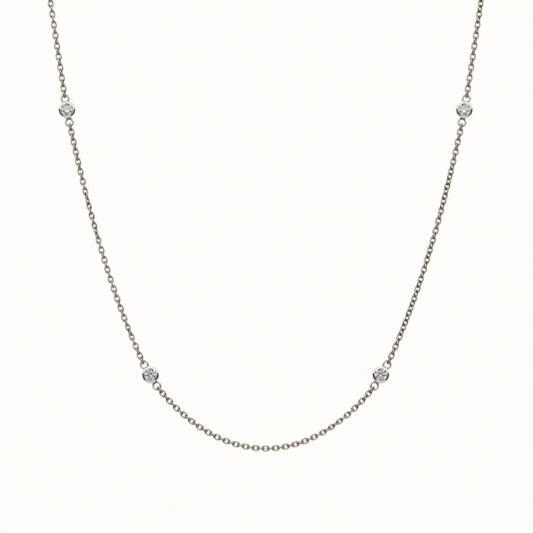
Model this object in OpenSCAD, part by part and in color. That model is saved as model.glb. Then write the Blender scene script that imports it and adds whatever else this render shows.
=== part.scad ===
// A station necklace in its hanging form: a cable chain with four round brilliants in tube settings.
// The front hangs as a loaded chain does and leans back as on a chest. Above the upper settings the
// chain runs up and over the shoulders to the nape, where the clasp and the origin are.
// Sizes are in millimetres. +Z is up, the stones face -Y, and the wearer's left is at +X.

/* [Chain] */
// Thickness of the link wire
wire = 0.36; // [0.3:0.01:0.38]
// Width of a link across its two sides
link_w = 1.5; // [1.44:0.02:1.6]
// Clearance between the wires of neighbouring links
play = 0.11; // [0.11:0.01:0.14]
// Step from link to link in the middle length, which hangs slackest
middle_step = 1.16; // [1.15:0.005:1.2]
// Step from link to link in the two side lengths
side_step = 1.2; // [1.17:0.005:1.22]
// Links between the two lower settings, an odd number
middle_links = 51; // [47:2:55]
// Links between a lower and an upper setting, an odd number
side_links = 49; // [45:2:53]
// Links from an upper setting round to the clasp, an even number
upper_links = 96; // [94:2:98]
// Links above each upper setting that are made one by one
open_links = 43; // [20:1:43]

/* [Hang] */
// Sideways pull in the chain, given as the length of chain that weighs as much
pull = 24; // [20:0.5:28]
// Bend at a setting, given as the length of chain whose weight would bend the line as much
setting_weight = 15; // [10:0.5:20]
// Angle at which the front leans back
lean = 9; // [0:1:14]
// Angle at which the chain spreads outward above the upper settings
spread = 8.8; // [6:0.2:11]
// Straight stretch of chain above each upper setting
straight_rise = 24; // [15:0.5:25]
// Height of the nape above the lowest link
nape_height = 142; // [140:0.5:144]
// Depth of the nape behind the lowest link
nape_back = 70; // [68:0.5:72]
// How far the chain keeps its direction as it leaves the straight stretch
shoulder_sweep = 40; // [37:1:43]
// How far the chain keeps its direction before it reaches the nape
nape_sweep = 45; // [42:1:46]

/* [Settings] */
// Outer diameter of a setting at its rim
rim_d = 4.04; // [3.96:0.02:4.1]
// Outer diameter of a setting at its foot
foot_d = 3.94; // [3.86:0.02:4]
// Height of a setting from foot to rim
setting_h = 2; // [1.95:0.05:2.2]
// Height of the rim above the plane of the ring loops
rim_h = 1.55; // [1.5:0.05:1.65]
// Rounding of the rim's outer edge
rim_round = 0.24; // [0.1:0.02:0.28]
// Width of the window that shows the stone
window_d = 2.78; // [2.7:0.02:2.84]
// Width of the bevel from the rim down to the window
bevel_w = 0.14; // [0.1:0.02:0.18]
// Outer diameter of a ring loop
ring_d = 2.16; // [2.12:0.02:2.2]
// Thickness of a ring loop's wire
ring_wire = 0.46; // [0.42:0.01:0.48]
// Distance from the centre of a setting to the centre of its ring loop
ring_reach = 2.85; // [2.82:0.01:2.88]

/* [Stones] */
// Diameter of a stone at its girdle
stone_d = 3; // [2.94:0.02:3.02]
// Width of the table as a share of the diameter
table_share = 0.57; // [0.53:0.01:0.62]
// Height of the crown above the girdle
crown_h = 0.45; // [0.4:0.01:0.5]
// Thickness of the girdle
girdle_h = 0.09; // [0.05:0.01:0.12]
// Depth of the pavilion below the girdle
pavilion_h = 1.29; // [1.22:0.01:1.32]
// Depth of the table below the rim
table_drop = 0.1; // [0.05:0.01:0.15]

/* [Clasp] */
// Outer diameter of the closed clasp ring
clasp_d = 5.6; // [5:0.1:6]
// Thickness of the clasp ring's wire
clasp_wire = 1.1; // [0.9:0.05:1.2]

/* [Hidden] */

// Rounds are drawn with this many sides
wire_sides = 24;
round_sides = 72;

// The slow roll of each length about its own line, as the photographed chain lies: a row for each
// place where it turns away from facing the front, the place and spread as shares of the length
// from its left or lower end, and the turn in degrees
middle_roll = [
    // place, spread, turn
    [0.12, 0.10, 12],
    [0.45, 0.25, 22],
    [0.79, 0.09, 40],
];
left_side_roll = [
    // place, spread, turn
    [0.62, 0.10, 85],
    [0.37, 0.06, 22],
    [0.14, 0.05, 42],
];
right_side_roll = [
    // place, spread, turn
    [0.20, 0.08, -42],
    [0.34, 0.04, -20],
    [0.47, 0.05, -25],
    [0.74, 0.08, -48],
];
left_upper_roll = [
    // place, spread, turn
    [0.18, 0.05, 24],
    [0.42, 0.10, -50],
    [0.75, 0.08, 35],
];
right_upper_roll = [
    // place, spread, turn
    [0.20, 0.06, -26],
    [0.50, 0.12, 55],
    [0.80, 0.06, -30],
];
// How far each stone is turned in its setting, in degrees
stone_turns = [8, 31, 14, 38];

function unit(v) = v / norm(v);
function last(list) = list[len(list) - 1];
function total(list) = list * [for (item = list) 1];
// A size that two shapes share where they meet has few digits, so that both keep all of them
function neat(size) = round(size * 10000) / 10000;

// Settings, worked out from the sizes above
ring_mid_r = (ring_d - ring_wire) / 2;
ring_in_r = ring_d / 2 - ring_wire;
stone_r = stone_d / 2;
table_r = stone_r * table_share;
girdle_top = rim_h - table_drop - crown_h;
girdle_foot = girdle_top - girdle_h;
// From a setting's centre to the joint between its ring loop and the first link
setting_reach = ring_reach + ring_in_r - play / 2;
// The clasp's ring loops sink into its ring by as much as they need to hold
loop_sink = 0.17;
clasp_ring_reach = clasp_d / 2 + ring_d / 2 - loop_sink;
clasp_reach = clasp_ring_reach + ring_in_r - play / 2;

// The hanging front, as points in its own leaning plane: x to the side and y up from the lowest
// link. A link's slope is the weight that hangs below it over the sideways pull.
function slope(hung) = unit([pull, hung]);
function run(start, hung, step, count) = [
    for (i = 0, p = start, w = hung; i <= count; p = p + step * slope(w), w = w + step, i = i + 1) p
];
half_middle = (middle_links - 1) / 2;
middle_run = run([middle_step / 2, 0], middle_step, middle_step, half_middle);
middle_hung = middle_step * middle_links / 2;
lower_aim = slope(middle_hung + setting_reach + setting_weight / 2);
lower_at = last(middle_run) + setting_reach * lower_aim;
side_hung = middle_hung + 2 * setting_reach + setting_weight;
side_run = run(lower_at + setting_reach * lower_aim, side_hung + side_step / 2, side_step, side_links);
rise = [sin(spread), cos(spread)];
upper_aim = unit(slope(side_hung + side_step * side_links) + rise);
upper_at = last(side_run) + setting_reach * upper_aim;
upper_start = upper_at + setting_reach * upper_aim;

// From the leaning plane to the part's own frame. side is 1 for +X and -1 for -X.
front_face = [0, -cos(lean), sin(lean)];
function front_aim(d, side) = [side * d.x, d.y * sin(lean), d.y * cos(lean)];
function front_at(p, side) = front_aim(p, side) - [0, nape_back, nape_height];
function front_joints(points, side) = [for (p = points) front_at(p, side)];
settings = [
    // place, direction of the chain through it
    [front_at(upper_at, -1), front_aim(upper_aim, -1)],
    [front_at(lower_at, -1), front_aim(lower_aim, -1)],
    [front_at(lower_at, 1), front_aim(lower_aim, 1)],
    [front_at(upper_at, 1), front_aim(upper_aim, 1)],
];

// The way over the shoulder at +X: a straight rise, then a cubic curve that ends level at the clasp
rise_aim = front_aim(rise, 1);
rise_start = front_at(upper_start, 1);
rise_end = rise_start + straight_rise * rise_aim;
clasp_joint = [clasp_reach, 0, 0];
function curve(t) = pow(1 - t, 3) * rise_end
    + 3 * pow(1 - t, 2) * t * (rise_end + shoulder_sweep * rise_aim)
    + 3 * (1 - t) * pow(t, 2) * (clasp_joint + [nape_sweep, 0, 0])
    + pow(t, 3) * clasp_joint;
way_cuts = 240;
way = concat([rise_start], [for (i = [0:way_cuts]) curve(i / way_cuts)]);
way_reach = [
    for (i = 0, s = 0; i < len(way); i = i + 1, s = s + (i < len(way) ? norm(way[i] - way[i - 1]) : 0)) s
];
way_tables = [for (axis = [0:2]) [for (i = [0:len(way) - 1]) [way_reach[i], way[i][axis]]]];
way_length = last(way_reach);
function way_at(s) = [for (axis = [0:2]) lookup(s, way_tables[axis])];
upper_step = way_length / upper_links;
upper_joints = [for (i = [0:upper_links]) way_at(i * upper_step)];

// The side of the chain that faces the front turns to face up as the chain goes over the shoulder
function shoulder_face(share) = unit((1 - share) * front_face + share * [0, 0, 1]);
function square_to(face, along) = unit(face - (face * along) * along);

// The tubes that stand for the hidden links keep the chain's width
tube_sides = 8;
tube_cuts = 32;
tube_from = (open_links - 0.5) * upper_step + (upper_step + play) / 2 + wire + play;
tube_to = way_length - ring_wire - 1.5 * play;

// Puts its child at a point, its Y along a direction and its Z turned so far from facing the front
module place(at, along, face, turn = 0) {
    flat = square_to(face, along);
    up = cos(turn) * flat + sin(turn) * cross(along, flat);
    across = cross(along, up);
    multmatrix([
        [across.x, along.x, up.x, at.x],
        [across.y, along.y, up.y, at.y],
        [across.z, along.z, up.z, at.z],
    ]) children();
}

// One oval link in the XY plane, long along Y
module link(inner_l) {
    bend_r = (link_w - wire) / 2;
    half_side = neat((inner_l + wire) / 2 - bend_r);
    for (end = [0, 180]) {
        rotate([0, 0, end]) translate([0, half_side, 0])
            rotate_extrude(angle = 180, $fn = wire_sides) translate([bend_r, 0]) circle(d = wire, $fn = wire_sides);
    }
    for (side = [-1, 1]) {
        translate([side * bend_r, half_side, 0]) rotate([90, 0, 0])
            cylinder(d = wire, h = 2 * half_side, $fn = wire_sides);
    }
}

// Links from joint to joint, every other one turned a quarter, with the length's slow roll
module strand(joints, step, roll, links, first_count, over_shoulder = 0) {
    for (i = [0:first_count - 1]) {
        share = (i + 0.5) / links;
        along = unit(joints[i + 1] - joints[i]);
        slow = total([for (bump = roll) bump[2] * exp(-pow((share - bump[0]) / bump[1], 2))]);
        quarter = i % 2 == 0 ? 90 : 0;
        place((joints[i] + joints[i + 1]) / 2, along, shoulder_face(share * over_shoulder), quarter + slow)
            link(step + play);
    }
}

// A ring loop in the XY plane
module ring_loop() {
    rotate_extrude($fn = wire_sides) translate([ring_mid_r, 0]) circle(d = ring_wire, $fn = wire_sides);
}

// A tube setting that opens along +Z, with its stone's seat and a ring loop on each side along Y
module setting() {
    foot_z = rim_h - setting_h;
    rim_r = rim_d / 2;
    window_r = window_d / 2;
    stone_gap = 0.05;
    seat_r = stone_r + 0.03;
    culet_r = stone_r * 0.7;
    crown_slope = crown_h / (stone_r - table_r);
    pavilion_slope = pavilion_h / stone_r;
    rotate_extrude($fn = round_sides) union() {
        polygon([
            [foot_d / 2, foot_z],
            [rim_r, rim_h - rim_round],
            [rim_r - rim_round, rim_h],
            [window_r + bevel_w, rim_h],
            [window_r, girdle_top + crown_slope * (stone_r - window_r) + stone_gap],
            [seat_r, girdle_top + stone_gap],
            [seat_r, girdle_foot - stone_gap],
            [culet_r, girdle_foot - pavilion_slope * (stone_r - culet_r) - stone_gap],
            [culet_r, foot_z],
        ]);
        translate([rim_r - rim_round, rim_h - rim_round]) circle(r = rim_round, $fn = round_sides);
    }
    for (side = [-1, 1]) translate([0, side * ring_reach, 0]) ring_loop();
}

// A round brilliant about the Z axis: a table, 8 star, 8 kite and 16 upper girdle facets, a girdle
// of 16 flats, and 16 lower girdle and 8 main facets down to the culet. Kites and mains are flat.
module brilliant() {
    tip_r = (table_r + stone_r) / 2;
    low_tip_r = stone_r * 0.24;
    kite_z = girdle_top + crown_h * (stone_r - tip_r * cos(22.5)) / (stone_r - table_r);
    culet_z = girdle_foot - pavilion_h;
    low_tip_z = culet_z + pavilion_h * low_tip_r * cos(22.5) / stone_r;
    function ring(r, z, count, start) = [
        for (k = [0:count - 1]) [r * cos(start + k * 360 / count), r * sin(start + k * 360 / count), z]
    ];
    points = concat(
        ring(table_r, girdle_top + crown_h, 8, 0),
        ring(tip_r, kite_z, 8, 22.5),
        ring(stone_r, girdle_top, 16, 0),
        ring(stone_r, girdle_foot, 16, 0),
        ring(low_tip_r, low_tip_z, 8, 22.5),
        [[0, 0, culet_z]]
    );
    function table(k) = k % 8;
    function tip(k) = 8 + (k + 8) % 8;
    function top(k) = 16 + k % 16;
    function foot(k) = 32 + k % 16;
    function low(k) = 48 + (k + 8) % 8;
    culet = 56;
    faces = concat(
        [[for (k = [7:-1:0]) table(k)]],
        [for (k = [0:7]) [table(k), table(k + 1), tip(k)]],
        [for (k = [0:7]) [table(k), tip(k), top(2 * k), tip(k - 1)]],
        [for (k = [0:7]) [tip(k), top(2 * k + 1), top(2 * k)]],
        [for (k = [0:7]) [tip(k), top(2 * k + 2), top(2 * k + 1)]],
        [for (k = [0:15]) [foot(k), top(k), top(k + 1), foot(k + 1)]],
        [for (k = [0:7]) [low(k), foot(2 * k), foot(2 * k + 1)]],
        [for (k = [0:7]) [low(k), foot(2 * k + 1), foot(2 * k + 2)]],
        [for (k = [0:7]) [culet, low(k - 1), foot(2 * k), low(k)]]
    );
    polyhedron(points, faces);
}

// Settings, stones and chain lengths, counted from the upper left one to the upper right one
module bezel(i) color("silver") place(settings[i][0], settings[i][1], front_face) setting();
module stone(i) color("aliceblue") place(settings[i][0], settings[i][1], front_face)
    rotate([0, 0, stone_turns[i]]) brilliant();

module chain_middle() {
    left = front_joints([for (i = [half_middle:-1:0]) middle_run[i]], -1);
    right = front_joints(middle_run, 1);
    color("lightgray") strand(concat(left, right), middle_step, middle_roll, middle_links, middle_links);
}

module chain_side(side, roll) color("lightgray")
    strand(front_joints(side_run, side), side_step, roll, side_links, side_links);

module chain_upper(side, roll) color("lightgray")
    strand([for (p = upper_joints) [side * p.x, p.y, p.z]], upper_step, roll, upper_links, open_links, 1);

module chain_back(side) {
    reach = 0.05;
    points = [
        for (i = [0:tube_cuts]) let (
            s = tube_from + (tube_to - tube_from) * i / tube_cuts,
            along = unit(way_at(s + reach) - way_at(s - reach)),
            flat = square_to(shoulder_face(s / way_length), along),
            across = cross(along, flat)
        ) for (j = [0:tube_sides - 1]) let (a = (j + 0.5) * 360 / tube_sides)
            way_at(s) + link_w / 2 * (cos(a) * flat + sin(a) * across)
    ];
    function at(i, j) = i * tube_sides + j % tube_sides;
    faces = concat(
        [[for (j = [0:tube_sides - 1]) at(0, j)]],
        [for (i = [0:tube_cuts - 1]) for (j = [0:tube_sides - 1]) [at(i, j), at(i + 1, j), at(i + 1, j + 1)]],
        [for (i = [0:tube_cuts - 1]) for (j = [0:tube_sides - 1]) [at(i, j), at(i + 1, j + 1), at(i, j + 1)]],
        [[for (j = [tube_sides - 1:-1:0]) at(tube_cuts, j)]]
    );
    color("lightgray") mirror([side < 0 ? 1 : 0, 0, 0]) polyhedron(points, faces);
}

// A closed ring that faces the neck, with a ring loop on each side
module clasp() color("silver") rotate([90, 0, 0]) {
    rotate_extrude($fn = round_sides) translate([(clasp_d - clasp_wire) / 2, 0])
        circle(d = clasp_wire, $fn = wire_sides);
    for (side = [-1, 1]) translate([side * clasp_ring_reach, 0, 0]) ring_loop();
}

bezel(0);  // bezel_1
bezel(1);  // bezel_2
bezel(2);  // bezel_3
bezel(3);  // bezel_4
stone(0);  // stone_1
stone(1);  // stone_2
stone(2);  // stone_3
stone(3);  // stone_4
chain_middle();
chain_side(-1, left_side_roll);  // chain_left_side
chain_side(1, right_side_roll);  // chain_right_side
chain_upper(-1, left_upper_roll);  // chain_left_upper
chain_upper(1, right_upper_roll);  // chain_right_upper
chain_back(-1);  // chain_left_back
chain_back(1);  // chain_right_back
clasp();
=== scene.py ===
"""A station necklace: a fine cable chain with four round brilliants in tube settings."""

from math import cos, pi, radians, sin

import bpy
import numpy as np
from bpy.props import FloatProperty, FloatVectorProperty, IntProperty, PointerProperty
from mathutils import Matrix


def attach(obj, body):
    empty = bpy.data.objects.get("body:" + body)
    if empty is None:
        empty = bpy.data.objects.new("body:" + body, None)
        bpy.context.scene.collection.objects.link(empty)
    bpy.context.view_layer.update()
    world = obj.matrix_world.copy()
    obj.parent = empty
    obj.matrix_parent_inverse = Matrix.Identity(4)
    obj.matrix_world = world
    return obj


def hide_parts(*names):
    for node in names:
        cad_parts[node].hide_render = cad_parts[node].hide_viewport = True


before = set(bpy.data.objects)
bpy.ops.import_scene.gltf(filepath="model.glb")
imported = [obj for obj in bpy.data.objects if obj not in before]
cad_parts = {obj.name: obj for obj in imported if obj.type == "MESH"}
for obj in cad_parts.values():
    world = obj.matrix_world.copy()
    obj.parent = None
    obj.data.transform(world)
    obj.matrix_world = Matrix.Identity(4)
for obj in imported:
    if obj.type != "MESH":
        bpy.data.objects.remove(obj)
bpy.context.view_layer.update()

bl_info = {
    "name": "Station Necklace",
    "version": (1, 0, 0),
    "blender": (4, 5, 0),
    "location": "3D View > Sidebar > Necklace",
    "description": "Makes a cable chain necklace with round brilliants in tube settings",
    "category": "Add Mesh",
}

# The slow roll of each length about its own line: a row for each place where it turns away from
# facing the front, the place and spread as shares of the length, and the turn in degrees
ROLLS = {
    "middle": ((0.12, 0.10, 12), (0.45, 0.25, 22), (0.79, 0.09, 40)),
    "left_side": ((0.62, 0.10, 85), (0.37, 0.06, 22), (0.14, 0.05, 42)),
    "right_side": ((0.20, 0.08, -42), (0.34, 0.04, -20), (0.47, 0.05, -25), (0.74, 0.08, -48)),
    "left_upper": ((0.18, 0.05, 24), (0.42, 0.10, -50), (0.75, 0.08, 35)),
    "right_upper": ((0.20, 0.06, -26), (0.50, 0.12, 55), (0.80, 0.06, -30)),
}
# The turn of each stone in its setting, in degrees
STONE_TURNS = (8, 31, 14, 38)
# Painted shade: the metal is darkened towards each joint, standing in for the shade where parts
# meet. From and to which share of a link's step and of a ring loop's radius it darkens, and how
# much of that painted shade the rest of a ring loop takes
LINK_SHARES = (0.3, 0.8)
RING_SHARES = (0.4, 0.95)
RING_SHADE = 0.2
# Shares of the stone's radius: the bore behind it, and where its lower girdle facets end
BORE_SHARE = 0.7
LOW_TIP_SHARE = 0.24
# The solder on the clasp as a share of that on a setting, across and outward
CLASP_SOLDER = 0.8

# Least and greatest roughness of each metal, and how close its polishing lines lie along X, Y and Z
SETTING_FINISH = ((0.06, 0.14), (1500, 6000, 6000))
CHAIN_FINISH = ((0.04, 0.1), (2000, 2000, 9000))
CLASP_FINISH = ((0.08, 0.16), (1500, 6000, 6000))
# The share of the sweep's colour that takes soft shadows, between two values
PAINT_SHARES = (0.045, 0.05)

# The studio is a white tent, given by direction. Soft boxes brighten parts of it: direction, inner
# and outer angle in degrees, strength
TENT = 0.88
SOFT_BOXES = (
    ((0.0, -0.85, 0.53), 24, 34, 0.7),
    ((0.0, 1.0, 0.0), 40, 60, 0.15),
)
# The tent is dimmer towards the ground: height where that starts, where it ends, and what is left
GROUND = (-0.25, -0.85, 0.7)
# A dark gap at each side of the tent's front. Smooth steps between two values of the direction give
# how far out it starts and ends, its half width about its height, and how far back it reaches
GAP_START = (0.13, 0.26)
GAP_END = (1.0, 0.95)
GAP_HEIGHT = 0.0
GAP_WIDTH = (0.4, 0.3)
GAP_DEPTH = (0.2, 0.0)
# The camera's lens: direction, inner and outer angle in degrees
LENS_DISC = ((0.0, -1.0, 0.05), 13, 16)
ROOM_COLOUR = (0.012, 0.010, 0.009, 1.0)
TENT_COLOUR = (1.0, 0.98, 0.955, 1.0)
LENS_COLOUR = (0.006, 0.1, 0.24, 1.0)


def size_property(name, description, default):
    """A length in metres."""
    looks = {"subtype": "DISTANCE", "unit": "LENGTH", "precision": 5}
    return FloatProperty(name=name, description=description, default=default, min=0, **looks)


def angle_property(name, description, degrees):
    """An angle, kept in radians."""
    looks = {"subtype": "ANGLE", "unit": "ROTATION"}
    return FloatProperty(name=name, description=description, default=radians(degrees), **looks)


def share_property(name, description, default):
    """A plain number between 0 and 1."""
    return FloatProperty(name=name, description=description, default=default, min=0, max=1)


def colour_property(name, description, default):
    """A linear colour without alpha."""
    looks = {"subtype": "COLOR", "size": 3, "min": 0, "max": 1}
    return FloatVectorProperty(name=name, description=description, default=default, **looks)


class NecklaceChainProperties(bpy.types.PropertyGroup):
    """Sizes of the chain and of the line that it hangs on."""

    wire: size_property("Wire", "Thickness of the link wire", 0.00041)
    link_w: size_property("Link width", "Width of a link across its two sides", 0.0015)
    play: size_property("Play", "Clearance between the wires of neighbouring links", 0.00001)
    fullness: FloatProperty(name="Fullness", description="How square a link's corners are", default=2.4)
    quarter: angle_property("Quarter turn", "Turn from one link to the next", 70)
    middle_step: size_property("Middle step", "Step from link to link in the middle length", 0.00116)
    side_step: size_property("Side step", "Step from link to link in the side lengths", 0.0012)
    middle_links: IntProperty(name="Middle links", description="Links between the lower settings", default=51)
    side_links: IntProperty(name="Side links", description="Links between two settings", default=49)
    upper_links: IntProperty(name="Upper links", description="Links up to the clasp", default=96)
    joint_reach: size_property("Joint reach", "From a setting's centre to its first joint", 0.003415)
    pull: size_property("Pull", "Sideways pull, as the length of chain that weighs as much", 0.024)
    setting_weight: size_property("Setting weight", "Bend at a setting, as a length of chain", 0.015)
    lean: angle_property("Lean", "Angle at which the front leans back", 9)
    spread: angle_property("Spread", "Angle at which the chain spreads above the upper settings", 8.8)
    straight_rise: size_property("Straight rise", "Straight stretch above each upper setting", 0.024)
    nape_height: size_property("Nape height", "Height of the nape above the lowest link", 0.142)
    nape_back: size_property("Nape back", "Depth of the nape behind the lowest link", 0.07)
    shoulder_sweep: size_property("Shoulder sweep", "How far the chain keeps its way off the rise", 0.04)
    nape_sweep: size_property("Nape sweep", "How far the chain keeps its way before the nape", 0.045)


class NecklaceSettingProperties(bpy.types.PropertyGroup):
    """Sizes of a tube setting and its ring loops."""

    rim_d: size_property("Rim", "Outer diameter of a setting at its rim", 0.00404)
    foot_d: size_property("Foot", "Outer diameter of a setting at its foot", 0.00394)
    setting_h: size_property("Height", "Height of a setting from foot to rim", 0.002)
    rim_h: size_property("Rim height", "Height of the rim above the ring loops' plane", 0.00155)
    slope_w: size_property("Slope width", "Width of the slope round the rim", 0.00034)
    slope_h: size_property("Slope drop", "How far the slope round the rim drops", 0.00015)
    edge_w: size_property("Edge width", "Width of the steep edge outside the slope", 0.00012)
    edge_h: size_property("Edge drop", "How far the steep edge drops", 0.0002)
    window_d: size_property("Window", "Width of the window that shows the stone", 0.00272)
    bevel_w: size_property("Bevel", "Width of the bevel from the rim down to the window", 0.0001)
    ring_d: size_property("Ring loop", "Outer diameter of a ring loop", 0.00216)
    ring_wire: size_property("Ring wire", "Thickness of a ring loop's wire", 0.0005)
    ring_reach: size_property("Ring reach", "From a setting's centre to its ring loop's", 0.00285)
    solder_w: size_property("Solder width", "Half width of the solder at a ring loop", 0.00046)
    solder_h: size_property("Solder height", "Half height of the solder at a ring loop", 0.00031)
    solder_reach: size_property("Solder reach", "How far the solder runs out along a ring loop", 0.00017)


class NecklaceStoneProperties(bpy.types.PropertyGroup):
    """Sizes of a round brilliant."""

    stone_d: size_property("Diameter", "Diameter of a stone at its girdle", 0.003)
    table_share: share_property("Table", "Width of the table as a share of the diameter", 0.57)
    crown_h: size_property("Crown", "Height of the crown above the girdle", 0.00045)
    girdle_h: size_property("Girdle", "Thickness of the girdle", 0.00009)
    pavilion_h: size_property("Pavilion", "Depth of the pavilion below the girdle", 0.00129)
    table_drop: size_property("Table drop", "Depth of the table below the rim", 0.0001)


class NecklaceClaspProperties(bpy.types.PropertyGroup):
    """Sizes of the clasp."""

    clasp_d: size_property("Ring", "Outer diameter of the closed clasp ring", 0.0056)
    clasp_wire: size_property("Ring wire", "Thickness of the clasp ring's wire", 0.0011)
    loop_sink: size_property("Loop sink", "How far a ring loop sinks into the clasp ring", 0.00017)


class NecklaceLooksProperties(bpy.types.PropertyGroup):
    """Colours of the finishes."""

    setting_colour: colour_property("Settings", "Polished white metal of the settings", (0.87, 0.83, 0.79))
    # Painted shade: the links are given a much darker colour than the settings' white metal, standing in for
    # the shade and dark reflections among the links
    chain_shaded_colour: colour_property("Chain", "Drawn white metal wire of the links", (0.585, 0.515, 0.455))
    # Painted shade: the tone that the links are darkened to where they meet, for the shade between them
    chain_joint_shade: share_property("Chain joints", "Tone of the links where they meet", 0.18)
    # Painted shade: the tone that the ring loops are darkened to where the chain and the tube meet them
    ring_joint_shade: share_property("Ring loops", "Tone of the ring loops where the chain meets them", 0.1)
    clasp_colour: colour_property("Clasp", "Polished white metal of the clasp", (0.7, 0.67, 0.64))
    stone_colour: colour_property("Stones", "Faint blue of the brilliants", (0.985, 0.992, 1.0))
    sweep_colour: colour_property("Sweep", "Pale floor and wall round the object", (0.978, 0.969, 0.951))
    sweep_glow: share_property("Sweep glow", "Strength of the sweep's own even glow", 0.96)


class NecklaceStageProperties(bpy.types.PropertyGroup):
    """Camera and surroundings."""

    lens: FloatProperty(name="Lens", description="Focal length in millimetres", default=300)
    sensor: FloatProperty(name="Sensor", description="Sensor width in millimetres", default=36)
    frame_w: size_property("Frame width", "Width that the photograph takes in at the necklace", 0.12398)
    frame_x: size_property("Frame side", "How far the frame's middle lies to the wearer's left", 0.00019)
    frame_up: size_property("Frame height", "Height of the frame's middle above the lowest link", 0.042)
    frame_back: size_property("Frame depth", "Depth of the frame behind the lowest link", 0.008)
    floor_drop: size_property("Floor drop", "Depth of the floor below the origin", 0.45)
    floor_r: size_property("Floor radius", "Radius of the flat floor", 2.0)
    cove_r: size_property("Cove radius", "Radius of the bend from floor to wall", 0.8)
    wall_h: size_property("Wall height", "Height of the wall above the bend", 1.6)


def unit(v):
    """Vectors along the last axis, scaled to length 1."""
    v = np.asarray(v, float)
    return v / np.linalg.norm(v, axis=-1, keepdims=True)


def slope(pull, hung):
    """Direction of the hanging chain: the weight that hangs below over the sideways pull."""
    hung = np.asarray(hung, float)
    return unit(np.stack([np.full_like(hung, pull), hung], axis=-1))


def hanging_run(start, hung, step, count, pull):
    """Joints of a hanging length: each step adds its own length to the weight hung below it."""
    steps = step * slope(pull, hung + step * np.arange(count))
    return start + np.vstack([np.zeros((1, 2)), np.cumsum(steps, axis=0)])


def mirrored(points, side):
    """Points or directions at +X, taken to the side given by 1 or -1."""
    return np.asarray(points, float) * [side, 1, 1]


class HangingLine:
    """The necklace's line: joints of each length and the settings' places, for the +X side.

    The front is worked out in its own leaning plane, x to the side and y up from the lowest link.
    Above the upper settings a straight rise and one cubic curve lead over the shoulder to the nape.
    """

    def __init__(self, chain, setting, clasp, cuts=240):
        reach = chain.joint_reach
        pull, middle_step, side_step = chain.pull, chain.middle_step, chain.side_step
        self.lean = chain.lean
        self.nape = np.array([0, chain.nape_back, chain.nape_height])
        half_middle = (chain.middle_links - 1) // 2
        start = np.array([middle_step / 2, 0])
        middle = hanging_run(start, middle_step, middle_step, half_middle, pull)
        hung = middle_step * chain.middle_links / 2
        lower_aim = slope(pull, hung + reach + chain.setting_weight / 2)
        lower = middle[-1] + reach * lower_aim
        hung += 2 * reach + chain.setting_weight
        start = lower + reach * lower_aim
        side = hanging_run(start, hung + side_step / 2, side_step, chain.side_links, pull)
        rise = np.array([sin(chain.spread), cos(chain.spread)])
        upper_aim = unit(slope(pull, hung + side_step * chain.side_links) + rise)
        upper = side[-1] + reach * upper_aim
        self.middle = self.placed(middle)
        self.side = self.placed(side)
        self.lower = (self.placed(lower), self.aimed(lower_aim))
        self.upper_one = (self.placed(upper), self.aimed(upper_aim))
        self.front = np.array([0, -cos(self.lean), sin(self.lean)])

        start = self.placed(upper + reach * upper_aim)
        rise_aim = self.aimed(rise)
        rise_end = start + chain.straight_rise * rise_aim
        ring_reach = clasp.clasp_d / 2 + setting.ring_d / 2 - clasp.loop_sink
        end = np.array([ring_reach + chain.joint_reach - setting.ring_reach, 0, 0])
        t = np.linspace(0, 1, cuts + 1)[:, None]
        curve = (
            (1 - t) ** 3 * rise_end
            + 3 * (1 - t) ** 2 * t * (rise_end + chain.shoulder_sweep * rise_aim)
            + 3 * (1 - t) * t**2 * (end + [chain.nape_sweep, 0, 0])
            + t**3 * end
        )
        way = np.vstack([start, curve])
        reached = np.concatenate([[0], np.cumsum(np.linalg.norm(np.diff(way, axis=0), axis=1))])
        stops = np.linspace(0, reached[-1], chain.upper_links + 1)
        self.upper = np.stack([np.interp(stops, reached, way[:, axis]) for axis in range(3)], axis=1)
        self.upper_step = reached[-1] / chain.upper_links

    def aimed(self, d):
        """A direction in the leaning plane, in the object's own axes."""
        d = np.asarray(d, float)
        return np.stack([d[..., 0], d[..., 1] * sin(self.lean), d[..., 1] * cos(self.lean)], axis=-1)

    def placed(self, p):
        """A point in the leaning plane, in the object's own axes with the nape at the origin."""
        return self.aimed(p) - self.nape


def square_to(face, along):
    """The part of a face direction that is square to the direction along, at length 1."""
    face = np.broadcast_to(face, along.shape)
    return unit(face - np.sum(face * along, axis=-1, keepdims=True) * along)


def turned_frame(along, face, turn):
    """Three axes for each direction along: across, along and up, with up turned from the face."""
    flat = square_to(face, along)
    up = np.cos(turn)[:, None] * flat + np.sin(turn)[:, None] * np.cross(along, flat)
    return np.stack([np.cross(along, up), along, up], axis=1)


def grid_faces(rows, columns, closed=True):
    """Quads of a grid whose points are numbered row by row. Each row closes on itself, and with
    closed the last row also joins the first."""
    i, j = np.meshgrid(np.arange(rows if closed else rows - 1), np.arange(columns), indexing="ij")
    here, after, beside = i * columns, (i + 1) % rows * columns, (j + 1) % columns
    return np.stack([here + j, after + j, after + beside, here + beside], axis=-1).reshape(-1, 4)


def cap_faces(pole, row, columns, flip=False):
    """Triangles from a pole to a closed row of points that starts at the index row."""
    k = np.arange(columns)
    near, far = row + k, row + (k + 1) % columns
    return np.stack([np.full(columns, pole), *((far, near) if flip else (near, far))], axis=1)


def power(v, exponent):
    """A power that keeps the sign of its base."""
    return np.sign(v) * np.abs(v) ** exponent


def smooth_step(v, low, high):
    """A smooth step from 0 at low to 1 at high."""
    t = np.clip((v - low) / (high - low), 0, 1)
    return t * t * (3 - 2 * t)


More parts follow.
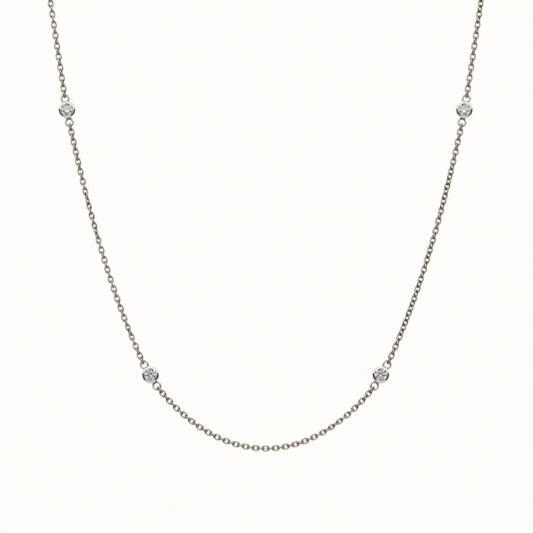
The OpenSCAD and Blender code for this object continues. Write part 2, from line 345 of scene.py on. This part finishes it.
def link_points(chain, inner_l, stations=14, sides=6):
    """One link in the XY plane, long along Y: a circle of the wire's radius carried along the
    superellipse |x/a|^n + |y/b|^n = 1, whose half sizes a and b run to the middle of the wire."""
    t = (np.arange(stations) + 0.5) * 2 * pi / stations
    a, b, n = (chain.link_w - chain.wire) / 2, (inner_l + chain.wire) / 2, chain.fullness
    path = np.stack([a * power(np.cos(t), 2 / n), b * power(np.sin(t), 2 / n)], axis=1)
    steepness = 2 - 2 / n
    outward = unit(np.stack([power(np.cos(t), steepness) / a, power(np.sin(t), steepness) / b], axis=1))
    turn = (np.arange(sides) + 0.5) * 2 * pi / sides
    out, rise = chain.wire / 2 * np.cos(turn), chain.wire / 2 * np.sin(turn)
    flat = path[:, None, :] + out[None, :, None] * outward[:, None, :]
    return np.concatenate([flat, np.broadcast_to(rise, flat.shape[:2])[..., None]], axis=2)


def strand_mesh(joints, step, roll, chain, front, over_shoulder=0.0):
    """Links from joint to joint, every other one turned on, with the length's slow roll: the turn
    is a sum of bumps, each turn * exp(-((share - place) / spread) ** 2). Returns the mesh and how
    near each point is to a joint, which sets how much painted shade darkens the links there."""
    count = len(joints) - 1
    share = (np.arange(count) + 0.5) / count
    along = unit(np.diff(joints, axis=0))
    slow = sum(turn * np.exp(-(((share - place) / spread) ** 2)) for place, spread, turn in roll)
    quarter = np.where(np.arange(count) % 2 == 0, chain.quarter, 0)
    part = (share * over_shoulder)[:, None]
    face = unit((1 - part) * front + part * np.array([0, 0, 1]))
    axes = turned_frame(along, face, quarter + np.radians(slow))
    link = link_points(chain, step + chain.play)
    rows, columns = link.shape[:2]
    middle = (joints[1:] + joints[:-1]) / 2
    points = np.einsum("pc,nck->npk", link.reshape(-1, 3), axes) + middle[:, None, :]
    faces = grid_faces(rows, columns) + (np.arange(count) * rows * columns)[:, None, None]
    # Painted shade: how far each point darkens, from its nearness to the link's ends
    near = smooth_step(np.abs(link[:, :, 1]).ravel() / step, *LINK_SHARES)
    return (points.reshape(-1, 3), faces.reshape(-1, 4).tolist()), np.tile(near, count)


def revolved(profile, around):
    """A closed profile of (r, z) points carried round the Z axis in as many steps."""
    a = np.arange(around) * 2 * pi / around
    x, y = np.cos(a)[:, None] * profile[:, 0], np.sin(a)[:, None] * profile[:, 0]
    z = np.broadcast_to(profile[:, 1], x.shape)
    return np.stack([x, y, z], axis=-1).reshape(-1, 3), grid_faces(around, len(profile)).tolist()


def ring_mesh(outer_d, wire, around=48, sides=16):
    """A plain ring: a circle of the wire's radius carried round a circle in the XY plane."""
    a = np.arange(sides) * 2 * pi / sides
    profile = np.stack([(outer_d - wire) / 2 + wire / 2 * np.cos(a), wire / 2 * np.sin(a)], axis=1)
    return revolved(profile, around)


def solder_mesh(half, sharpness=2.4, around=32, rows=16):
    """A bead of solder: a superellipsoid |x/a|^n + |y/b|^n + |z/c|^n = 1, with its two poles closed."""
    u = np.linspace(0, pi, rows + 1)[1:-1]
    v = np.arange(around) * 2 * pi / around
    x = np.sin(u)[:, None] * np.cos(v)
    y = np.sin(u)[:, None] * np.sin(v)
    z = np.broadcast_to(np.cos(u)[:, None], x.shape)
    sphere = np.stack([x, y, z], axis=-1).reshape(-1, 3)
    sphere = np.vstack([sphere, [[0, 0, 1], [0, 0, -1]]])
    size = np.sum(np.abs(sphere) ** sharpness, axis=1, keepdims=True) ** (1 / sharpness)
    top, bottom = len(sphere) - 2, len(sphere) - 1
    caps = [cap_faces(top, 0, around), cap_faces(bottom, (rows - 2) * around, around, flip=True)]
    quads = grid_faces(rows - 1, around, closed=False)
    return sphere / size * half, quads.tolist() + np.vstack(caps).tolist()


def joined(*meshes):
    """Several (points, faces) meshes as one, each keeping its own surface."""
    points, faces, first = [], [], 0
    for own_points, own_faces in meshes:
        points.append(own_points)
        faces += [[k + first for k in face] for face in own_faces]
        first += len(own_points)
    return np.vstack(points), faces


def moved(mesh, by):
    """A mesh with the same offset added to each point."""
    return mesh[0] + np.asarray(by, float), mesh[1]


def rounded(corner, before, after, radius, cuts=5):
    """An arc that rounds a profile's corner: a quadratic curve from radius before it to radius after."""
    corner, before, after = (np.asarray(p, float) for p in (corner, before, after))
    start = corner + unit(before - corner) * radius
    end = corner + unit(after - corner) * radius
    t = np.linspace(0, 1, cuts + 1)[:, None]
    return (1 - t) ** 2 * start + 2 * (1 - t) * t * corner + t**2 * end


def rounded_profile(corners):
    """A closed profile from rows of (r, z, rounding), each corner rounded by its own amount."""
    points = [np.array(row[:2]) for row in corners]
    count = len(points)
    around = [(points[k - 1], points[(k + 1) % count], corners[k][2]) for k in range(count)]
    return np.vstack([rounded(point, *rest) for point, rest in zip(points, around)])


def setting_mesh(setting, stone):
    """A tube setting about the Z axis: a rounded profile carried round, with its rim turned over the
    stone's girdle, and a ring loop with its solder on each side along Y. Returns the mesh and how
    near each point is to a joint, which sets how much painted shade darkens the ring loops and
    their solder there."""
    stone_r = stone.stone_d / 2
    girdle_top = setting.rim_h - stone.table_drop - stone.crown_h
    crown_slope = stone.crown_h / (stone_r * (1 - stone.table_share))
    foot_z = setting.rim_h - setting.setting_h
    rim_r, window_r, inner_r = setting.rim_d / 2, setting.window_d / 2, stone_r * BORE_SHARE
    # The least rounding of an edge, and the clearance round the stone
    fine, gap = 0.00003, 0.00002
    slope_foot = setting.rim_h - setting.slope_h
    girdle_foot = girdle_top - stone.girdle_h
    pavilion_slope = stone.pavilion_h / stone_r
    corners = (
        # r, z, rounding
        (setting.foot_d / 2, foot_z, 3 * fine),
        (rim_r, slope_foot - setting.edge_h, 3 * fine),
        (rim_r - setting.edge_w, slope_foot, 2 * fine),
        (rim_r - setting.edge_w - setting.slope_w, setting.rim_h, 2 * fine),
        (window_r + setting.bevel_w, setting.rim_h, fine),
        (window_r, girdle_top + crown_slope * (stone_r - window_r) + gap, fine),
        (stone_r + gap, girdle_top + gap, gap / 2),
        (stone_r + gap, girdle_foot - gap, gap / 2),
        (inner_r, girdle_foot - pavilion_slope * (stone_r - inner_r) - gap, fine),
        (inner_r, foot_z, 3 * fine),
    )
    tube = revolved(rounded_profile(corners), 128)
    loop = ring_mesh(setting.ring_d, setting.ring_wire)
    wall_r = setting.foot_d / 2 + (rim_r - setting.foot_d / 2) * -foot_z / setting.setting_h
    bead = solder_mesh(np.array([setting.solder_w, setting.solder_reach, setting.solder_h]))
    parts = [tube]
    for side in (-1, 1):
        parts.append(moved(loop, (0, side * setting.ring_reach, 0)))
        parts.append(moved(bead, (0, side * wall_r, 0)))
    mesh = joined(*parts)
    # Painted shade on the ring loops and their solder: darkest at the loops' ends, where the chain and the
    # tube meet them, and a little over the rest; the tube takes none
    out = np.abs(mesh[0][:, 1]) - setting.ring_reach
    near = smooth_step(np.abs(out) / (setting.ring_d / 2), *RING_SHARES)
    near = RING_SHADE + (1 - RING_SHADE) * near
    near[: len(tube[0])] = 0
    return mesh, near


def brilliant_mesh(setting, stone):
    """A round brilliant about the Z axis: a table, 8 star, 8 kite and 16 upper girdle facets, a
    girdle of 16 flats, and 16 lower girdle and 8 main facets down to the culet."""
    stone_r = stone.stone_d / 2
    table_r = stone_r * stone.table_share
    girdle_top = setting.rim_h - stone.table_drop - stone.crown_h
    girdle_foot = girdle_top - stone.girdle_h
    tip_r, low_tip_r = (table_r + stone_r) / 2, stone_r * LOW_TIP_SHARE
    half_step = cos(pi / 8)
    tip_z = girdle_top + stone.crown_h * (stone_r - tip_r * half_step) / (stone_r - table_r)
    culet_z = girdle_foot - stone.pavilion_h
    low_tip_z = culet_z + stone.pavilion_h * low_tip_r * half_step / stone_r

    def ring(r, z, count, start):
        a = start + np.arange(count) * 2 * pi / count
        return np.stack([r * np.cos(a), r * np.sin(a), np.full(count, z)], axis=1)

    points = np.vstack(
        [
            ring(table_r, girdle_top + stone.crown_h, 8, 0),
            ring(tip_r, tip_z, 8, pi / 8),
            ring(stone_r, girdle_top, 16, 0),
            ring(stone_r, girdle_foot, 16, 0),
            ring(low_tip_r, low_tip_z, 8, pi / 8),
            [[0, 0, culet_z]],
        ]
    )
    k, m = np.arange(8), np.arange(16)
    table, tip, low = k, 8 + k, 48 + k
    before, after = np.roll(k, 1), np.roll(k, -1)
    top, foot = 16 + m, 32 + m
    next_top, next_foot = np.roll(top, -1), np.roll(foot, -1)
    culet = np.full(8, 56)
    even, odd, following = 2 * k, 2 * k + 1, (2 * k + 2) % 16
    faces = [table.tolist()]
    for corners in (
        (table, tip, table[after]),
        (table, tip[before], top[even], tip),
        (tip, top[even], top[odd]),
        (tip, top[odd], top[following]),
        (foot, next_foot, next_top, top),
        (low, foot[odd], foot[even]),
        (low, foot[following], foot[odd]),
        (culet, low, foot[even], low[before]),
    ):
        faces += np.stack(corners, axis=1).tolist()
    return points, faces


def clasp_mesh(setting, clasp):
    """The closed clasp ring, facing the neck, with a soldered ring loop on each side along X."""
    ring = ring_mesh(clasp.clasp_d, clasp.clasp_wire, 96, 24)
    loop = ring_mesh(setting.ring_d, setting.ring_wire)
    reach = clasp.clasp_d / 2 + setting.ring_d / 2 - clasp.loop_sink
    outward, across = CLASP_SOLDER * setting.solder_reach, CLASP_SOLDER * setting.solder_w
    bead = solder_mesh(np.array([outward, across, setting.solder_h]))
    parts = [ring]
    for side in (-1, 1):
        parts.append(moved(loop, (side * reach, 0, 0)))
        parts.append(moved(bead, (side * (clasp.clasp_d / 2), 0, 0)))
    points, faces = joined(*parts)
    return points @ np.array([[1, 0, 0], [0, 0, 1], [0, -1, 0]], float), faces


def sweep_mesh(stage, around=96, cove_cuts=16, floor_cuts=12):
    """A round sweep: a flat floor, a quarter circle up and a wall, carried round the Z axis."""
    floor = np.stack([np.linspace(0, stage.floor_r, floor_cuts + 1)[1:], np.zeros(floor_cuts)], axis=1)
    a = np.linspace(0, pi / 2, cove_cuts + 1)[1:]
    cove = np.stack([stage.floor_r + stage.cove_r * np.sin(a), stage.cove_r * (1 - np.cos(a))], axis=1)
    wall = np.array([[stage.floor_r + stage.cove_r, stage.cove_r + stage.wall_h]])
    profile = np.vstack([floor, cove, wall])
    t = np.arange(around) * 2 * pi / around
    x, y = profile[:, :1] * np.cos(t), profile[:, :1] * np.sin(t)
    z = np.broadcast_to(profile[:, 1:], x.shape) - stage.floor_drop
    points = np.vstack([np.stack([x, y, z], axis=-1).reshape(-1, 3), [[0, 0, -stage.floor_drop]]])
    quads = grid_faces(len(profile), around, closed=False)
    return points, quads.tolist() + cap_faces(len(points) - 1, 0, around).tolist()


def placed_mesh(mesh, place, axes):
    """A mesh with its own axes turned to the rows of axes, and its origin moved to a place."""
    return mesh[0] @ axes + place, mesh[1]


def make_object(name, mesh, material, smooth=True, near=None):
    """A mesh object at the origin with one material, and with how near each point is to a joint, which sets
    its painted shade.
    """
    points, faces = mesh
    data = bpy.data.meshes.new(name)
    data.from_pydata(points.tolist(), [], faces)
    data.polygons.foreach_set("use_smooth", np.full(len(data.polygons), smooth))
    data.materials.append(material)
    if near is not None:
        # The joint attribute carries how much painted shade each point takes
        data.attributes.new("joint", "FLOAT", "POINT").data.foreach_set("value", near)
    data.update()
    piece = bpy.data.objects.new(name, data)
    bpy.context.scene.collection.objects.link(piece)
    return piece


def dress(piece, slot, *nodes):
    """Puts a piece on the body and hides the imported parts of the nodes that it stands for; the slot is not
    used.
    """
    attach(piece, "root")
    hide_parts(*nodes)
    return piece


class Socket:
    """A shader socket in an expression: each operator adds one Math node."""

    def __init__(self, tree, socket):
        self.tree = tree
        self.socket = socket

    def math(self, operation, *values):
        return self.tree.add("ShaderNodeMath", {"operation": operation}, dict(enumerate(values)))

    def __add__(self, other):
        return self.math("ADD", self, other)

    def __sub__(self, other):
        return self.math("SUBTRACT", self, other)

    def __rsub__(self, other):
        return self.math("SUBTRACT", other, self)

    def __mul__(self, other):
        return self.math("MULTIPLY", self, other)

    def __truediv__(self, other):
        return self.math("DIVIDE", self, other)

    def __rtruediv__(self, other):
        return self.math("DIVIDE", other, self)

    def __abs__(self):
        return self.math("ABSOLUTE", self)

    __radd__ = __add__
    __rmul__ = __mul__

    def clamped(self):
        """The value held between 0 and 1."""
        return self.math("MINIMUM", self.math("MAXIMUM", self, 0.0), 1.0)

    def step(self, low, high):
        """A smooth step from 0 at low to 1 at high."""
        t = ((self - low) / (high - low)).clamped()
        return t * t * (3 - 2 * t)


class NodeTree:
    """A cleared node tree and its one way to add a node."""

    def __init__(self, owner):
        owner.use_nodes = True
        self.nodes = owner.node_tree.nodes
        self.links = owner.node_tree.links
        self.nodes.clear()

    def add(self, kind, settings=None, values=None, output=0):
        """Adds a node, sets its settings and then its sockets, and returns one output."""
        node = self.nodes.new(kind)
        for name, value in (settings or {}).items():
            setattr(node, name, value)
        for name, value in (values or {}).items():
            if isinstance(value, Socket):
                self.links.new(value.socket, node.inputs[name])
            else:
                node.inputs[name].default_value = value
        return Socket(self, node.outputs[output]) if node.outputs else None

    def parts(self, vector):
        """The three parts of a vector."""
        node = self.add("ShaderNodeSeparateXYZ", None, {0: vector}).socket.node
        return [Socket(self, output) for output in node.outputs]

    def mix(self, factor, a, b):
        """A colour between two colours."""
        return self.add("ShaderNodeMix", {"data_type": "RGBA"}, {0: factor, 6: a, 7: b}, output=2)

    def noise(self, vector, scale, detail=2.0, roughness=0.5):
        """A noise value about 0.5."""
        values = {"Vector": vector, "Scale": scale, "Detail": detail, "Roughness": roughness}
        return self.add("ShaderNodeTexNoise", None, values)


def shade(colour, factor):
    """A colour made darker or lighter, with an alpha of 1."""
    return tuple(min(1.0, c * factor) for c in colour) + (1.0,)


def white_metal(name, colour, finish, joint_shade_tone=1.0):
    """Polished white metal: faint clouds of tone, and fine polishing lines that vary the gloss and
    the surface, stretched across one axis. Towards a joint, painted shade darkens it to the joint
    shade tone."""
    (low_gloss, high_gloss), stretch = finish
    material = bpy.data.materials.new(name)
    tree = NodeTree(material)
    place = tree.add("ShaderNodeTexCoord", output=3)
    clouds = tree.noise(place, 900.0, 3.0)
    lined = tree.add("ShaderNodeMapping", None, {"Vector": place, "Scale": stretch})
    lines = tree.noise(lined, 1.0, 4.0, 0.6)
    base = tree.mix(clouds.step(0.35, 0.65), shade(colour, 0.94), shade(colour, 1.02))
    if joint_shade_tone < 1:
        # Painted shade: the joint attribute darkens the colour towards the joints, for the shade where parts
        # meet
        near = tree.add("ShaderNodeAttribute", {"attribute_name": "joint"}, output=2)
        base = tree.mix(near, base, shade(colour, joint_shade_tone))
    gloss = low_gloss + (high_gloss - low_gloss) * lines.step(0.3, 0.7)
    bump = tree.add("ShaderNodeBump", None, {"Strength": 0.06, "Distance": 0.00001, "Height": lines})
    shader = tree.add(
        "ShaderNodeBsdfPrincipled",
        None,
        {"Base Color": base, "Metallic": 1.0, "Roughness": gloss, "Normal": bump},
    )
    tree.add("ShaderNodeOutputMaterial", None, {"Surface": shader})
    return material


def clear_stone(name, colour):
    """A clear cut stone: its tint deepens a little in soft patches, its facets stay sharp."""
    material = bpy.data.materials.new(name)
    tree = NodeTree(material)
    place = tree.add("ShaderNodeTexCoord", output=3)
    patches = tree.noise(place, 700.0, 1.0)
    base = tree.mix(patches.step(0.4, 0.6), shade(colour, 0.97), shade(colour, 1.0))
    shader = tree.add(
        "ShaderNodeBsdfPrincipled",
        None,
        {"Base Color": base, "Roughness": 0.0, "IOR": 2.42, "Transmission Weight": 1.0},
    )
    tree.add("ShaderNodeOutputMaterial", None, {"Surface": shader})
    return material


def pale_sweep(name, colour, glow_strength):
    """The sweep's pale paint: mostly an even glow, with a small share that takes soft shadows."""
    material = bpy.data.materials.new(name)
    tree = NodeTree(material)
    place = tree.add("ShaderNodeTexCoord", output=3)
    grain = tree.noise(place, 60.0, 2.0)
    paint = tree.mix(grain, *(shade(colour, share) for share in PAINT_SHARES))
    diffuse = tree.add("ShaderNodeBsdfDiffuse", None, {"Color": paint})
    glow = tree.add("ShaderNodeEmission", None, {"Color": shade(colour, 1.0), "Strength": glow_strength})
    both = tree.add("ShaderNodeAddShader", None, {0: glow, 1: diffuse})
    tree.add("ShaderNodeOutputMaterial", None, {"Surface": both})
    return material


def studio_world():
    """Soft studio light by direction: a white tent, brighter in front above and behind, dimmer
    towards the ground, with a dark gap at each side and the lens as a small deep blue disc."""
    world = bpy.data.worlds.new("studio")
    bpy.context.scene.world = world
    tree = NodeTree(world)
    direction = tree.add("ShaderNodeTexCoord", output=0)
    side, depth, height = tree.parts(direction)

    def facing(aim, inner, outer):
        """1 inside the inner angle from a direction, 0 outside the outer one, in degrees."""
        values = {0: direction, 1: tuple(unit(aim))}
        dot = tree.add("ShaderNodeVectorMath", {"operation": "DOT_PRODUCT"}, values, output=1)
        return dot.step(cos(radians(outer)), cos(radians(inner)))

    boxes = sum(strength * facing(aim, inner, outer) for aim, inner, outer, strength in SOFT_BOXES)
    start, end, left = GROUND
    light = (TENT + boxes) * (1 - (1 - left) * height.step(start, end))
    out = abs(side)
    gap = out.step(*GAP_START) * out.step(*GAP_END) * abs(height - GAP_HEIGHT).step(*GAP_WIDTH)
    light = light * (1 - gap * depth.step(*GAP_DEPTH))
    dim = tree.add("ShaderNodeBackground", None, {"Color": ROOM_COLOUR, "Strength": 1.0})
    bright = tree.add("ShaderNodeBackground", None, {"Color": TENT_COLOUR, "Strength": light})
    lens = tree.add("ShaderNodeBackground", None, {"Color": LENS_COLOUR, "Strength": 1.0})
    both = tree.add("ShaderNodeAddShader", None, {0: dim, 1: bright})
    whole = tree.add("ShaderNodeMixShader", None, {0: facing(*LENS_DISC), 1: both, 2: lens})
    tree.add("ShaderNodeOutputWorld", None, {"Surface": whole})


def line_of(scene):
    """The necklace's line from the sizes in the scene."""
    return HangingLine(scene.necklace_chain, scene.necklace_setting, scene.necklace_clasp)


class NECKLACE_OT_stage(bpy.types.Operator):
    """Makes the camera, the pale sweep and the studio light"""

    bl_idname = "necklace.stage"
    bl_label = "Stage"

    def execute(self, context):
        """The frame's middle lies level with the camera, which looks along +Y."""
        scene = context.scene
        stage, chain, looks = scene.necklace_stage, scene.necklace_chain, scene.necklace_looks
        data = bpy.data.cameras.new("camera")
        data.lens, data.sensor_width = stage.lens, stage.sensor
        camera = bpy.data.objects.new("camera", data)
        distance = stage.frame_w * stage.lens / stage.sensor
        depth = -chain.nape_back + stage.frame_back - distance
        camera.location = (stage.frame_x, depth, stage.frame_up - chain.nape_height)
        camera.rotation_euler = (pi / 2, 0, 0)
        scene.collection.objects.link(camera)
        scene.camera = camera
        scene.view_settings.view_transform = "Standard"

        paint = pale_sweep("sweep paint", looks.sweep_colour, looks.sweep_glow)
        sweep = make_object("pale_sweep", sweep_mesh(stage), paint)
        sweep.visible_glossy = False
        sweep.visible_transmission = False
        sweep.visible_shadow = False
        studio_world()
        return {"FINISHED"}


class NECKLACE_OT_chain(bpy.types.Operator):
    """Makes the five lengths of cable chain, link by link"""

    bl_idname = "necklace.chain"
    bl_label = "Chain"

    def execute(self, context):
        """The middle length runs from left to right, and the others upward from their lower end."""
        scene = context.scene
        chain, line = scene.necklace_chain, line_of(scene)
        looks = scene.necklace_looks
        # The links' colour and its darkening towards the joints are both painted shade
        wire = white_metal("drawn white metal wire", looks.chain_shaded_colour, CHAIN_FINISH, looks.chain_joint_shade)
        middle = np.vstack([mirrored(line.middle[::-1], -1), line.middle])
        lengths = [("middle", middle, chain.middle_step, 0, ("chain_middle",))]
        for side, word in ((-1, "left"), (1, "right")):
            beside, above = mirrored(line.side, side), mirrored(line.upper, side)
            hidden = (f"chain_{word}_upper", f"chain_{word}_back")
            lengths.append((f"{word}_side", beside, chain.side_step, 0, (f"chain_{word}_side",)))
            lengths.append((f"{word}_upper", above, line.upper_step, 1, hidden))
        for name, joints, step, over_shoulder, nodes in lengths:
            mesh, near = strand_mesh(joints, step, ROLLS[name], chain, line.front, over_shoulder)
            dress(make_object(f"links_{name}", mesh, wire, near=near), "chain_metal", *nodes)
        return {"FINISHED"}


class NECKLACE_OT_settings(bpy.types.Operator):
    """Makes the four tube settings with their ring loops"""

    bl_idname = "necklace.settings"
    bl_label = "Tube settings"

    def execute(self, context):
        """Counted from the upper one on the photograph's left to the upper one on its right."""
        scene = context.scene
        colour = scene.necklace_looks.setting_colour
        # The ring loops' painted shade tone
        tone = scene.necklace_looks.ring_joint_shade
        metal = white_metal("polished white metal", colour, SETTING_FINISH, tone)
        mesh, near = setting_mesh(scene.necklace_setting, scene.necklace_stone)
        for count, place, axes in setting_places(line_of(scene)):
            own = placed_mesh(mesh, place, axes)
            piece = make_object(f"tube_setting_{count}", own, metal, near=near)
            dress(piece, "setting_metal", f"bezel_{count}")
        return {"FINISHED"}


class NECKLACE_OT_stones(bpy.types.Operator):
    """Makes the four round brilliants"""

    bl_idname = "necklace.stones"
    bl_label = "Brilliants"

    def execute(self, context):
        """Each stone is turned in its setting by its own angle."""
        scene = context.scene
        material = clear_stone("clear brilliant", scene.necklace_looks.stone_colour)
        points, faces = brilliant_mesh(scene.necklace_setting, scene.necklace_stone)
        for (count, place, axes), turn in zip(setting_places(line_of(scene)), STONE_TURNS):
            a = radians(turn)
            spin = np.array([[cos(a), sin(a), 0], [-sin(a), cos(a), 0], [0, 0, 1]])
            mesh = placed_mesh((points @ spin, faces), place, axes)
            piece = make_object(f"brilliant_{count}", mesh, material, smooth=False)
            dress(piece, "stone", f"stone_{count}")
        return {"FINISHED"}


class NECKLACE_OT_clasp(bpy.types.Operator):
    """Makes the closed clasp at the nape"""

    bl_idname = "necklace.clasp"
    bl_label = "Clasp"

    def execute(self, context):
        """One plain ring with its two ring loops."""
        scene = context.scene
        colour = scene.necklace_looks.clasp_colour
        metal = white_metal("polished clasp metal", colour, CLASP_FINISH)
        mesh = clasp_mesh(scene.necklace_setting, scene.necklace_clasp)
        dress(make_object("nape_clasp", mesh, metal), "clasp_metal", "clasp")
        return {"FINISHED"}


def setting_places(line):
    """Rows of number, place and axes for the four settings."""
    order = ((line.upper_one, -1), (line.lower, -1), (line.lower, 1), (line.upper_one, 1))
    rows = []
    for count, ((place, aim), side) in enumerate(order, start=1):
        along = mirrored(aim, side)[None]
        axes = turned_frame(along, line.front, np.zeros(1))[0]
        rows.append((count, mirrored(place, side), axes))
    return rows


class NECKLACE_PT_panel(bpy.types.Panel):
    """Lists the necklace's operators"""

    bl_idname = "NECKLACE_PT_panel"
    bl_label = "Station Necklace"
    bl_space_type = "VIEW_3D"
    bl_region_type = "UI"
    bl_category = "Necklace"

    def draw(self, context):
        """One button for each operator."""
        for operator in OPERATORS:
            self.layout.operator(operator.bl_idname)


PROPERTIES = {
    "necklace_chain": NecklaceChainProperties,
    "necklace_setting": NecklaceSettingProperties,
    "necklace_stone": NecklaceStoneProperties,
    "necklace_clasp": NecklaceClaspProperties,
    "necklace_looks": NecklaceLooksProperties,
    "necklace_stage": NecklaceStageProperties,
}
OPERATORS = (
    NECKLACE_OT_stage,
    NECKLACE_OT_chain,
    NECKLACE_OT_settings,
    NECKLACE_OT_stones,
    NECKLACE_OT_clasp,
)


def register():
    """Registers the classes and puts the property groups on the scene."""
    for group in (*PROPERTIES.values(), *OPERATORS, NECKLACE_PT_panel):
        bpy.utils.register_class(group)
    for name, group in PROPERTIES.items():
        setattr(bpy.types.Scene, name, PointerProperty(type=group))


def unregister():
    """Takes the property groups and the classes away again."""
    for name in PROPERTIES:
        delattr(bpy.types.Scene, name)
    for group in reversed((*PROPERTIES.values(), *OPERATORS, NECKLACE_PT_panel)):
        bpy.utils.unregister_class(group)


def main():
    """Makes the necklace and its stage."""
    register()
    bpy.ops.necklace.stage()
    bpy.ops.necklace.chain()
    bpy.ops.necklace.settings()
    bpy.ops.necklace.stones()
    bpy.ops.necklace.clasp()


if __name__ == "__main__":
    main()
